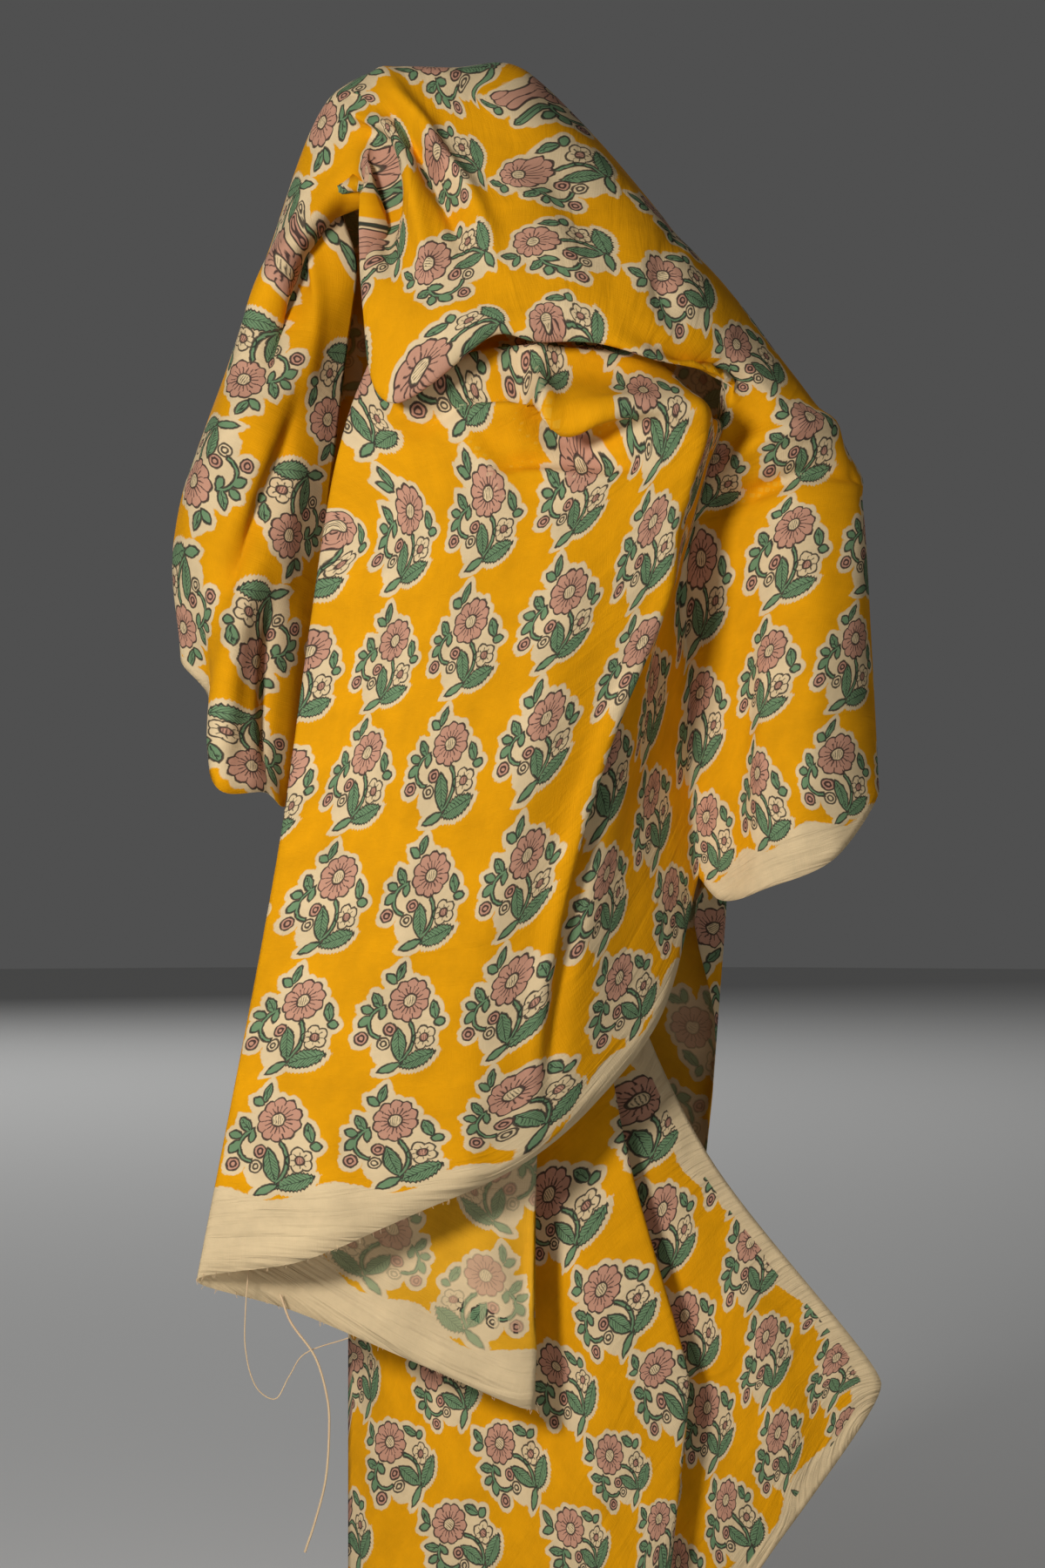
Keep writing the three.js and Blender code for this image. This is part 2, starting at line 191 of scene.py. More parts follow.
def smoothed(rows, pieces, softness=1, shortest=2, power=0.75):
    """Smooth curves through rows of points side by side, with pieces[i] steps from row i to row i + 1."""
    steps = np.linalg.norm(np.diff(rows, axis=0), axis=2).mean(axis=1)
    at = np.concatenate([[0], np.cumsum(np.maximum(steps, shortest) ** power)])
    here = np.arange(len(at))
    low, high = np.maximum(here - 1, 0), np.minimum(here + 1, len(at) - 1)
    slopes = (rows[high] - rows[low]) / (at[high] - at[low])[:, None, None]
    slopes = slopes * np.reshape(softness, (-1, 1, 1))
    made = []
    for i, count in enumerate(pieces):
        span = at[i + 1] - at[i]
        t = (np.arange(count) / count)[:, None, None]
        start = 2 * t**3 - 3 * t**2 + 1
        leave = t**3 - 2 * t**2 + t
        arrive = t**3 - t**2
        made.append(start * rows[i] + leave * span * slopes[i]
                    + (1 - start) * rows[i + 1] + arrive * span * slopes[i + 1])
    return np.concatenate([*made, rows[-1:]])


def sheet_of(lines, across, along, softness=1):
    """The grid of points of one sheet: a row for each step across the lines, a column for each step along."""
    net = np.array([[placed(point) for point in line] for line in lines.values()])
    return smoothed(smoothed(net, across).transpose(1, 0, 2), along, softness).transpose(1, 0, 2)


slit_start = sum(hood_along[:slit_station])
lip_row = hood_across[0]
hood = sheet_of(hood_lines, hood_across, hood_along)
panel = sheet_of(panel_lines, panel_across, panel_along)
tail = sheet_of(tail_lines, tail_across, tail_along, tail_softness)
panel[0, :slit_start + 1] = hood[lip_row, :slit_start + 1]
tail[0, :slit_start + 1] = hood[-1, :slit_start + 1]


def numbered(*grids):
    """Numbers for all points of some grids, counted on from grid to grid."""
    counts = [grid[..., 0].size for grid in grids]
    return [first + np.arange(count).reshape(grid.shape[:2])
            for first, count, grid in zip(np.cumsum([0, *counts]), counts, grids)]


# The sheets share the points of the valley and of the rear fold, so that the cloth is one piece.
hood_ids, panel_ids, tail_ids = numbered(hood, panel, tail)
points = np.concatenate([hood.reshape(-1, 3), panel.reshape(-1, 3), tail.reshape(-1, 3)])
panel_ids[0, :slit_start + 1] = hood_ids[lip_row, :slit_start + 1]
tail_ids[0, :slit_start + 1] = hood_ids[-1, :slit_start + 1]


def quads_of(grid):
    """The four corners of each square of a grid."""
    return np.stack([grid[:-1, :-1], grid[1:, :-1], grid[1:, 1:], grid[:-1, 1:]], axis=2)


def whole_cloth(hood_quads, panel_quads, tail_quads):
    """The quads of all sheets in one list. Where the panel hangs from the hood, nothing is inside the lip."""
    sheets = hood_quads[lip_row:], hood_quads[:lip_row, slit_start:], panel_quads[:, :, ::-1], tail_quads
    return np.concatenate([sheet.reshape(-1, *sheet.shape[2:]) for sheet in sheets])


used, quads = np.unique(whole_cloth(quads_of(hood_ids), quads_of(panel_ids), quads_of(tail_ids)),
                        return_inverse=True)
quads = quads.reshape(-1, 4)
points = points[used]


def vertex_normals(points, quads):
    """The mean direction of the quads round each point, out of the printed side."""
    a, b, c, d = (points[quads[:, k]] for k in range(4))
    face = np.cross(c - a, d - b)
    normals = np.zeros_like(points)
    for k in range(4):
        np.add.at(normals, quads[:, k], face)
    return normals / np.maximum(np.linalg.norm(normals, axis=1), 1e-9)[:, None]


# Creases: the pulls and soft folds of the hung cloth. Each runs along a path that shows from the front, as
# [across, up], and has a width and a rise in millimetres. A ridge rises to the front and a furrow sinks.
creases = {
    "hood": {
        "left furrow": ([[-42, -40], [-48, -69], [-60, -90], [-75, -110], [-88, -132], [-103, -158],
                         [-111, -176]], 12, -26),
        "left bank": ([[-58, -60], [-76, -84], [-98, -112], [-118, -146], [-126, -176]], 8, 6),
        "rope": ([[-40, -3], [-30, -18], [-17, -35], [-9, -50], [7, -68], [18, -90], [24, -112]], 5.5, 11),
        "rope furrow": ([[-34, -26], [-22, -44], [-13, -62], [-2, -84], [6, -108]], 4.5, -10),
        "second rope": ([[-38, -30], [-28, -50], [-22, -70], [-18, -92], [-12, -122]], 5.5, 9),
        "furrow by the peak": ([[-46, -30], [-38, -52], [-36, -72], [-38, -96], [-36, -118]], 5, -10),
        "peak fold": ([[-64, -18], [-54, -26], [-42, -33], [-30, -38]], 4.5, 9),
        "brow hollow": ([[36, -36], [62, -66], [82, -98], [96, -132]], 15, -6),
        "brow swell": ([[20, -20], [66, -44], [108, -84], [140, -120]], 13, 6),
        "right pull": ([[128, -92], [120, -112], [122, -134], [132, -152]], 6, -5),
        "shoulder furrow": ([[100, -150], [128, -162], [156, -176], [176, -190]], 6, -8),
        "shoulder ridge": ([[238, -216], [208, -206], [180, -212], [162, -226], [150, -240]], 8, 10),
        "flap crease": ([[240, -230], [212, -231], [190, -236], [168, -246], [146, -254]], 6, -13),
        "flap swell": ([[205, -268], [206, -330], [202, -400], [196, -450]], 15, 6),
        "flap hollow": ([[170, -290], [166, -350], [162, -420], [160, -474]], 10, -7),
        "left pull": ([[-84, -184], [-92, -216], [-110, -256], [-126, -286], [-134, -306]], 8, -12),
        "outer left pull": ([[-118, -180], [-130, -214], [-144, -244], [-150, -270]], 9, 6),
        "left pleat": ([[-116, -290], [-126, -334], [-131, -380], [-133, -412]], 7, 10),
        "pleat furrow": ([[-100, -300], [-103, -340], [-104, -380], [-103, -414]], 7, -12),
    },
    "panel": {
        "second roll": ([[-34, -196], [-8, -180], [26, -170], [60, -169], [95, -172], [130, -182]], 6, 13),
        "roll furrow": ([[-18, -206], [6, -192], [36, -184], [50, -186]], 5, -9),
        "swirl": ([[50, -168], [49, -180], [54, -194], [66, -202], [84, -197], [112, -192]], 5.5, 14),
        "swirl furrow": ([[40, -178], [42, -194], [52, -208], [68, -215], [90, -211], [116, -205]], 6, -14),
        "neck pull": ([[6, -206], [14, -220], [24, -236], [30, -252]], 5, 5),
        "crease under the swirl": ([[16, -239], [46, -234], [78, -236], [112, -237]], 3.5, 6),
        "furrow under the swirl": ([[20, -230], [48, -225], [80, -227], [112, -228]], 4.5, -6),
        "drag": ([[66, -250], [58, -330], [30, -450], [0, -560]], 18, 6),
        "left drag": ([[-30, -250], [-56, -340], [-80, -440], [-104, -560]], 15, -6),
        "folded edge": ([[128, -262], [122, -300], [88, -385], [64, -463], [50, -535], [44, -600]], 5, 6),
        "beside the folded edge": ([[134, -258], [131, -300], [98, -385], [75, -463], [61, -535],
                                    [56, -600]], 5, -9),
        "hem wave": ([[-60, -600], [-52, -640], [-48, -676]], 12, -4),
        "second hem wave": ([[10, -560], [8, -610], [6, -646]], 12, 4),
    },
    "turned under": {
        "turned corner": ([[-30, -714], [-4, -724], [24, -733], [52, -740]], 4, 8),
        "above the corner": ([[-28, -705], [-2, -714], [26, -723], [54, -730]], 4, -10),
        "right hollow": ([[40, -640], [42, -690], [44, -730]], 9, -6),
    },
    "tail": {
        "swell": ([[70, -868], [84, -740], [64, -640]], 22, 9),
        "furrow": ([[34, -620], [46, -678], [52, -740], [54, -830]], 10, -10),
        "left furrow": ([[-30, -868], [-18, -800], [-10, -730]], 12, -6),
        "right swell": ([[190, -820], [186, -760], [160, -690]], 13, 6),
    },
}
# A crease swells and dies away along its path like a half wave that is cut a little short at both ends.
crease_end, crease_steps, facing_gain = 0.06, 8, 3

# Pulls along the cloth: where one shows, how far it reaches and how far it draws the cloth, across and up.
# They leave the cloth behind pull_depth as it is.
pull_depth = 60
pulls = {
    "hood": {"lip corner": ([-26, -172], 22, [-6, -17]), "lip notch": ([22, -162], 20, [2, 13]),
             "flap corner": ([233, -228], 13, [7, -4])},
    "panel": {"under the lip corner": ([-28, -190], 18, [-4, -8])},
}


def risen(points, normals, sheet):
    """The points of a sheet moved by its creases and pulls, where the cloth looks to the front."""
    seen = as_seen(points)
    rise, drawn = np.zeros(len(points)), np.zeros_like(points)
    for path, width, height in creases[sheet].values():
        curve = smoothed(np.array(path, float)[:, None], [crease_steps] * (len(path) - 1))[:, 0]
        nearest, share = np.full(len(points), np.inf), np.zeros(len(points))
        for k, (start, end) in enumerate(zip(curve, curve[1:])):
            along = np.clip((seen - start) @ (end - start) / ((end - start) @ (end - start)), 0, 1)
            distance = np.linalg.norm(seen - start - along[:, None] * (end - start), axis=1)
            closer = distance < nearest
            nearest[closer] = distance[closer]
            share[closer] = (k + along[closer]) / (len(curve) - 1)
        fade = np.sin(math.pi * (crease_end + (1 - 2 * crease_end) * share))
        rise += height * fade * np.exp(-(nearest / width)**2)
    for middle, reach, shift in pulls.get(sheet, {}).values():
        share = np.exp(-(np.linalg.norm(seen - middle, axis=1) / reach)**2) * (points[:, 1] < pull_depth)
        drawn[:, [0, 2]] += share[:, None] * shift
    front = -1 if sheet == "turned under" else 1
    shown = np.clip(-facing_gain * front * normals[:, 1], 0, 1)
    return points + drawn + normals * (rise * shown * front)[:, None]


smooth_normals = vertex_normals(points, quads)
of_sheet = {"hood": hood_ids, "panel": panel_ids[1:], "turned under": panel_ids[1:], "tail": tail_ids[1:]}
for sheet, ids_of in of_sheet.items():
    on_sheet = np.flatnonzero(np.isin(used, ids_of))
    points[on_sheet] = risen(points[on_sheet], smooth_normals[on_sheet], sheet)

# The cloth is one closed sheet of fine cotton: the printed side, the plain side, and the rim at every free
# edge, where it is cut or ends in a selvedge. It takes the place of the solid cloth.
cloth_thickness = 0.5
normals = vertex_normals(points, quads)
count = len(points)
half = normals * cloth_thickness / 2
sides = np.concatenate([points + half, points - half])
edges = np.concatenate([quads[:, [k, (k + 1) % 4]] for k in range(4)])
free_at = np.flatnonzero(~np.isin(edges @ [count, 1], edges @ [1, count]))
free, free_corner, free_face = edges[free_at], free_at // len(quads), free_at % len(quads)
rim = np.stack([free[:, 1], free[:, 0], free[:, 0] + count, free[:, 1] + count], axis=-1)
faces = np.concatenate([quads, quads[:, ::-1] + count, rim])
mesh = bpy.data.meshes.new("cotton_cloth")
mesh.from_pydata((sides * mm).tolist(), [], faces.tolist())
mesh.polygons.foreach_set("use_smooth", np.ones(len(faces), bool))
mesh.polygons.foreach_set("material_index", np.repeat([0, 1, 1], [len(quads), len(quads), len(rim)]))
cloth = linked("cotton_cloth", mesh)
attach(cloth, "root")
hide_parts("cotton_length")

# The print was stamped on the flat cloth in rows of one bouquet, so every point gets its place there: u to
# the right from the valley, v up from the selvedge at the front hem. The cloth is laid flat with as little
# stretch as these flowers allow. Each stands in its column and row: where its middle shows, across and up.
column_pitch, row_pitch, plain_margin = 66, 73, 30
bouquet_at = (2, 10.5)
flowers_seen = {
    "hood": {
        0: {1: [142, -356], 2: [142, -269], 3: [150, -222], 6: [53, -141], 7: [-15, -158]},
        1: {0: [173, -402], 1: [182, -334], 2: [195, -261], 3: [201, -202], 4: [161, -160],
            5: [122, -118], 6: [43, -100], 7: [-18, -116], 8: [-39, -95]},
        2: {0: [214, -394], 1: [230, -326], 6: [34, -62], 7: [-10, -54], 8: [-36, -48], 12: [-113, -345],
            13: [-115, -401]},
        3: {6: [28, -23], 8: [-75, -30], 9: [-95, -122], 10: [-129, -158], 11: [-144, -235]}},
    "panel": {
        -3: {0: [27, -596], 1: [29, -530], 2: [41, -455], 3: [52, -376], 4: [69, -304], 5: [82, -235]},
        -4: {0: [-35, -604], 1: [-23, -537], 2: [-12, -464], 3: [-3, -388], 4: [8, -319], 5: [22, -247]},
        -5: {0: [-102, -601], 1: [-85, -535], 2: [-65, -462], 3: [-50, -392], 4: [-32, -329],
            5: [-24, -256]},
        -6: {3: [-88, -402], 4: [-76, -335], 5: [-57, -263]}},
    "turned under": {
        -7: {0: [-31, -670]},
        -8: {0: [20, -692], 1: [22, -637]}},
    "tail": {
        0: {0: [5, -843], 1: [-31, -797], 2: [-51, -747]},
        1: {-1: [75, -846], 0: [31, -796], 1: [-9, -758]},
        2: {-2: [122, -834], -1: [95, -804], 0: [66, -755]},
        3: {-1: [117, -755], 0: [86, -711], 1: [58, -658]},
        4: {-3: [156, -830], -2: [148, -780], -1: [138, -727], 0: [123, -666], 1: [113, -602]},
        5: {-3: [188, -793], -2: [180, -736], -1: [169, -682]},
        6: {-4: [219, -786], -3: [215, -746]}},
}
# The print isn't quite square to the hem: places across each part of the hem, and how far up it lies there.
hem_seen = {"flap": ([141, 160, 220, 244], [30, 0, 2, 22]), "back": ([-60, 160], [45, 45]),
            "panel": ([-147, -87, 0, 40, 80, 141], [-16, -5, 12, 22, 10, 0])}
# The cloth is laid flat in larger squares than it is made of: their numbers across and along each sheet.
hood_steps = [[3, 2, 2, 3, 3, 3, 2, 2, 2, 3, 3], [4, 4, 3, 2, 2, 3, 3, 4, 3, 4, 4, 4, 3]]
panel_steps = [[2, 2, 2, 3, 3, 3, 3, 3, 3, 2], [4, 4, 3, 2, 2, 2, 2]]
tail_steps = [[3, 3, 4, 2, 2, 3], [4, 4, 3, 2]]
back_fold = list(hood_lines).index("back fold")
cut_station = 9
back_hem = slice(2, -4)


def lengths(grid, axis):
    """The mean distance along a grid of points, from its first row or column."""
    steps = np.linalg.norm(np.diff(grid, axis=axis), axis=2).mean(axis=1 - axis)
    return np.concatenate([[0], np.cumsum(steps)])


def laid_out(grid, turned=1):
    """A first guess of the flat coordinates: straight rows and columns."""
    across, along = lengths(grid, 0), lengths(grid, 1)
    return np.stack(np.broadcast_arrays(turned * across[:, None], along[None]), axis=-1)


def split(quads):
    """Two triangles for each quad."""
    return np.concatenate([quads[..., [0, 1, 2]].reshape(-1, 3), quads[..., [0, 2, 3]].reshape(-1, 3)])


def cross_of(a, b):
    """Twice the area between flat vectors."""
    return a[..., 0] * b[..., 1] - a[..., 1] * b[..., 0]


def facing(spots, triangles):
    """How far each triangle's printed side looks to the front."""
    a, b, c = (spots[triangles[:, k]] for k in range(3))
    normal = np.cross(b - a, c - a)
    return -normal[:, 1] / np.maximum(np.linalg.norm(normal, axis=1), 1e-9)


def pins_for(spots, triangles, sheet, edge_on=0.05):
    """For each flower of a sheet, the front triangle that shows there, as shares of the triangle's points."""
    right, above = (0, 0) if sheet == "tail" else bouquet_at
    seen = as_seen(spots)
    shown = facing(spots, triangles) * (-1 if sheet == "turned under" else 1)
    front = triangles[shown > edge_on]
    a, b, c = (seen[front[:, k]] for k in range(3))
    corners, shares, aims = [], [], []
    flowers = [(column, *flower) for column, rows in flowers_seen[sheet].items() for flower in rows.items()]
    for column, row, middle in flowers:
        to = np.array(middle) - a
        second = cross_of(to, c - a) / cross_of(b - a, c - a)
        third = cross_of(b - a, to) / cross_of(b - a, c - a)
        share = np.stack([1 - second - third, second, third], axis=1)
        outside = np.maximum(-share.min(axis=1), 0)
        best = np.flatnonzero(outside <= outside.min() + 1e-6)
        best = best[np.argmin(spots[front[best], 1].mean(axis=1))]
        corners.append(front[best])
        shares.append(share[best])
        aims.append([(column + 0.5) * column_pitch + right, plain_margin + (row + 0.5) * row_pitch + above])
    return np.array(corners), np.array(shares), np.array(aims)


def gathered(places, values, count):
    """The sum of the values that fall on each place."""
    return np.stack([np.bincount(places, values[:, k], count) for k in (0, 1)], axis=1)


def laid_flat(spots, triangles, flat, pins, hem=None, hem_hold=0.6):
    """Flat coordinates with little stretch: each triangle is turned as it lies, then all are joined again."""
    strengths, rounds, solver_steps, weakest_tie, strongest_tie = (0.1, 1, 8), 40, 40, 0.05, 5
    corners, shares, aims = pins
    a, b, c = (spots[triangles[:, k]] for k in range(3))
    width = np.linalg.norm(b - a, axis=1)
    along = (b - a) / width[:, None]
    lift = (c - a) - along * ((c - a) * along).sum(axis=1)[:, None]
    own = np.zeros((len(triangles), 3, 2))
    own[:, 1, 0] = width
    own[:, 2] = np.stack([((c - a) * along).sum(axis=1), np.linalg.norm(lift, axis=1)], axis=1)
    sides = own - own[:, [1, 2, 0]]
    one, two = own - own[:, [2, 0, 1]], own[:, [1, 2, 0]] - own[:, [2, 0, 1]]
    tie = np.clip((one * two).sum(axis=2) / np.abs(cross_of(one, two)), weakest_tie, strongest_tie) / 2
    starts, ends, weights = triangles.ravel(), triangles[:, [1, 2, 0]].ravel(), tie.ravel()[:, None]
    count = len(spots)
    own_weight = np.bincount(starts, weights[:, 0], count) + np.bincount(ends, weights[:, 0], count)
    own_weight = np.maximum(own_weight, 1e-6)
    hold, hem_up = np.zeros((count, 2)), np.zeros((count, 2))
    for place, up in (hem or {}).items():
        hold[place, 1] = hem_hold
        hem_up[place, 1] = hem_hold * up
    for strength in strengths:

        def pull_of(x):
            pinned = (shares[..., None] * x[corners]).sum(axis=1)
            spread = (strength * shares[..., None] * pinned[:, None]).reshape(-1, 2)
            tied = gathered(starts, weights * x[ends], count) + gathered(ends, weights * x[starts], count)
            return (own_weight[:, None] + hold) * x - tied + gathered(corners.ravel(), spread, count)

        aimed = (strength * shares[..., None] * aims[:, None]).reshape(-1, 2)
        aimed = gathered(corners.ravel(), aimed, count)
        for _ in range(rounds):
            new = flat[triangles] - flat[triangles[:, [1, 2, 0]]]
            turn = np.einsum("tk,tki,tkj->tij", tie, new, sides)
            cosine, sine = turn[:, 0, 0] + turn[:, 1, 1], turn[:, 1, 0] - turn[:, 0, 1]
            size = np.hypot(cosine, sine)[:, None] + 1e-12
            cosine, sine = cosine[:, None] / size, sine[:, None] / size
            turned = np.stack([cosine * sides[..., 0] - sine * sides[..., 1],
                               sine * sides[..., 0] + cosine * sides[..., 1]], axis=-1)
            turned = turned.reshape(-1, 2) * weights
            wanted = aimed + hem_up + gathered(starts, turned, count) - gathered(ends, turned, count)
            left = wanted - pull_of(flat)
            step = eased = left / own_weight[:, None]
            rest = (left * eased).sum(axis=0)
            for _ in range(solver_steps):
                push = pull_of(step)
                far = rest / np.maximum((step * push).sum(axis=0), 1e-12)
                flat = flat + far * step
                left = left - far * push
                eased = left / own_weight[:, None]
                rest, before = (left * eased).sum(axis=0), rest
                step = eased + rest / np.maximum(before, 1e-12) * step
    return flat


coarse_hood = sheet_of(hood_lines, *hood_steps)
coarse_panel = sheet_of(panel_lines, *panel_steps)
coarse_tail = sheet_of(tail_lines, *tail_steps, tail_softness)
lip, slit = hood_steps[0][0], sum(hood_steps[1][:slit_station])
cut_row, cut = sum(hood_steps[0][:back_fold]), sum(hood_steps[1][:cut_station])
coarse_panel[0, :slit + 1] = coarse_hood[lip, :slit + 1]
flat_hood = laid_out(coarse_hood)
flat_hood[..., 0] -= flat_hood[lip, 0, 0]
sheets = {"hood": coarse_hood[:cut_row + 1], "rear": coarse_hood[cut_row:], "panel": coarse_panel}
flat_sheets = [flat_hood[:cut_row + 1], flat_hood[cut_row:], laid_out(coarse_panel, turned=-1)]
ids = dict(zip(sheets, numbered(*sheets.values())))
ids["rear"][0, :cut + 1] = ids["hood"][-1, :cut + 1]
ids["panel"][0, :slit + 1] = ids["hood"][lip, :slit + 1]
spots = np.concatenate([grid.reshape(-1, 3) for grid in sheets.values()])
flat = np.concatenate([grid.reshape(-1, 2) for grid in flat_sheets])
hood_corners = quads_of(ids["hood"])
triangles = {
    "hood": np.concatenate([split(hood_corners[lip:]), split(hood_corners[:lip, slit:])]),
    "rear": split(quads_of(ids["rear"])),
    "panel": split(quads_of(ids["panel"])[..., ::-1]),
}
found = [pins_for(spots, triangles["hood"], "hood")]
found += [pins_for(spots, triangles["panel"], sheet) for sheet in ("panel", "turned under")]
pins = [np.concatenate(pair) for pair in zip(*found)]
flap_rows = sum(hood_steps[0][:list(hood_lines).index("right side")])
hem_places = {"flap": ids["hood"][lip:flap_rows, 0], "back": ids["rear"][back_hem, 0],
              "panel": ids["panel"][1:, 0]}
front_hem = {}
for name, places in hem_places.items():
    front_hem.update(zip(places, np.interp(spots[places, 0], *hem_seen[name])))
flat = laid_flat(spots, np.concatenate(list(triangles.values())), flat, pins, front_hem)

tail_ids_coarse = numbered(coarse_tail)[0]
tail_spots, tail_triangles = coarse_tail.reshape(-1, 3), split(quads_of(tail_ids_coarse))
tail_flat = laid_out(coarse_tail).reshape(-1, 2)
tail_flat = laid_flat(tail_spots, tail_triangles, tail_flat, pins_for(tail_spots, tail_triangles, "tail"))


def refined(grid, coarse, fine):
    """Flat coordinates of a coarse grid carried over to the fine one, smoothly along each axis."""
    for before, after in zip(coarse, fine):
        starts = np.cumsum([0, *before])
        at = np.concatenate([start + np.arange(n) * m / n for start, m, n in zip(starts, before, after)])
        at = np.append(at, starts[-1])
        low = np.minimum(at.astype(int), starts[-1] - 1)
        t = (at - low)[:, None, None]
        a, b, c, d = (grid[np.clip(low + k, 0, starts[-1])] for k in (-1, 0, 1, 2))
        bend, twist = a - 2.5 * b + 2 * c - d / 2, 1.5 * (b - c) + (d - a) / 2
        grid = b + t * (c - a) / 2 + t**2 * bend + t**3 * twist
        grid = grid.transpose(1, 0, 2)
    return grid


at_lip = flat[ids["hood"][lip, :slit]]
step = flat[ids["hood"][lip + 1, :slit]] - at_lip
for row in range(lip):
    flat[ids["hood"][row, :slit]] = at_lip - (lip - row) * step
hood_split = [hood_steps[0][:back_fold], hood_steps[1]], [hood_across[:back_fold], hood_along]
rear_split = [hood_steps[0][back_fold:], hood_steps[1]], [hood_across[back_fold:], hood_along]
print_at = {
    "hood": refined(flat[ids["hood"]], *hood_split),
    "rear": refined(flat[ids["rear"]], *rear_split),
    "panel": refined(flat[ids["panel"]], panel_steps, [panel_across, panel_along]),
    "tail": refined(tail_flat[tail_ids_coarse], tail_steps, [tail_across, tail_along]),
}


def from_end(grid, axis):
    """The distance of each point from the last row or column of its grid."""
    steps = np.flip(np.linalg.norm(np.diff(grid, axis=axis), axis=2), axis=axis)
    run = np.flip(np.cumsum(steps, axis=axis), axis=axis)
    return np.concatenate([run, np.zeros_like(run.take([0], axis=axis))], axis=axis)


# The plain margin runs along both selvedges and along the tail's slanting edge: how far along each point is,
# and how far from the edge. At the lowest part of the left hem the print runs on to the edge.
tail_margin, left_margin, printed_to_edge = 20, 24, 70
lines_at = np.cumsum([0, *hood_across])
margin_lines = [lines_at[list(hood_lines).index(line)] for line in ("brow", "upper brow")]
left_gap = np.interp(np.arange(len(hood)), margin_lines, [printed_to_edge, left_margin])
left_hem = from_end(hood, 1) + left_gap[:, None]
rear_from = lines_at[back_fold]


def from_either_hem(grid, left):
    """The distance along the hems, and the distance from the nearer one."""
    return np.stack([grid[..., 0], np.minimum(grid[..., 1], left)], axis=-1)


hem_at = {
    "hood": from_either_hem(print_at["hood"], left_hem[:rear_from + 1]),
    "rear": from_either_hem(print_at["rear"], left_hem[rear_from:]),
    "panel": print_at["panel"],
    "tail": np.stack([np.broadcast_to(lengths(tail, 1), tail.shape[:2]),
                      from_end(tail, 0) + tail_margin], axis=-1),
}

for layer, places in (("print", print_at), ("hem", hem_at)):
    hood_places = np.concatenate([quads_of(places["hood"]), quads_of(places["rear"])])
    at_corners = whole_cloth(hood_places, quads_of(places["panel"]), quads_of(places["tail"]))
    start, end = at_corners[free_face, free_corner], at_corners[free_face, (free_corner + 1) % 4]
    rim_corners = np.stack([end, start, start, end], axis=1)
    at_loops = np.concatenate([at_corners, at_corners[:, ::-1], rim_corners]).reshape(-1, 2)
    mesh.uv_layers.new(name=layer).uv.foreach_set("vector", (at_loops * mm).astype(np.float32).ravel())

# The bouquet is printed by hand with four blocks: dark lines, green, pink, and the mustard ground, which
# leaves a cream halo of bare cloth. All is in millimetres from the big flower's middle. A leaf is its heel,
# its tip and its width, and a stem is its ring's middle and radius, and the line that cuts the ring off.
leaves = {
    "upright leaf of the sprig": ((-10, 11), (-7.5, 22.5), 5.2),
    "side leaf of the sprig": ((-10, 10), (-17.5, 15), 5.0),
    "tall leaf of the branch": ((-16.5, -5.5), (-23, 4), 5.8),
    "upper leaf of the branch": ((-21, -7.5), (-28.8, -5), 5.0),
    "lower leaf of the branch": ((-22, -10), (-28, -16.5), 5.8),
    "curled leaf of the branch": ((-15, -4), (-15.5, -12), 4.6),
    "upper right leaf": ((19, -13), (15.5, -1.5), 5.8),
    "right leaf": ((18, -14.5), (25, -14.8), 5.2),
    "leaf along the stem": ((-0.6, -37), (-4.8, -16), 8.6),
    "serrated leaf": ((-1, -40), (21.5, -32.5), 11.5),
    "heel of the stem": ((0.5, -38), (-13, -43.5), 5.2),
}
veined = ("leaf along the stem", "serrated leaf", "upright leaf of the sprig", "upper right leaf",
          "tall leaf of the branch")
stems = {"main stem": ((-10.6, -23.7), 16.4, (-1, 0.124, 3.35)),
         "stem of the branch": ((-13.2, -13.6), 9.3, (1, 0, 14.2))}
buds = {"bud by the stem": ((-9.4, -17.5), 3.7), "outer bud": ((-25.3, -23.5), 3.8)}
rosette = ((-11.8, -26.2), 3.6)
big_flower = {"middle": (0, 0), "radius": 12.9, "notch": 1.5, "heart": 3.9, "lobes": 10}
small_flower = {"middle": (12.6, -23.2), "radius": 7.6, "notch": 1.9, "heart": 2.5, "lobes": 5}
bare_inside = {"under the flower": ((5, -19), 10.5), "behind the branch": ((-12, -14), 10.5),
               "by the heel": ((-6, -29), 9.5), "by the sprig": ((-9.5, 12.5), 6),
               "beside the flower": ((13, -9), 6), "above the branch": ((-16, -4), 7),
               "over the serrated leaf": ((10, -31), 7)}
line_width, halo_width, stem_half_width = 1.15, 3.3, 1.1
serration_depth, serration_waves = 0.9, 1.5
vein_half_width, vein_waves, vein_slant, vein_inset = 0.45, 1.5, 0.9, 1.1
side_vein_depth, side_vein_line = 0.6, 0.2
bud_ring, rosette_ring = 2.1, 2
petal_line, stroke_line, heart_line, heart_waves = 0.3, 0.28, 0.22, 2.4
petals_part_from, strokes_from, strokes_end_at = 0.66, 0.5, 0.64
heart_stroke_depth, heart_strokes_end_at = 0.5, 0.7

# The margin's scalloped edge, the blocks' overrun past it, and how unevenly the hand set and inked them.
margin_up, margin_wave, block_overrun, ground_softness = 35, 5.5, 8, 0.35
block_slip, edge_wander, green_short = 1.8, 1.3, 0.1
uneven_by = {"lines": 0.5, "margin": 3, "ground": 1.5, "green": 1.2, "pink": 1.6}
thread_height, crease_height, gather_height, gathers_in, gathers_fade = 0.16, 1.5, 2.2, 4, 10
dyes = {"cream": (230, 203, 158), "mustard": (234, 160, 4), "green": (116, 146, 106),
        "pink": (203, 150, 124), "line": (46, 40, 40)}


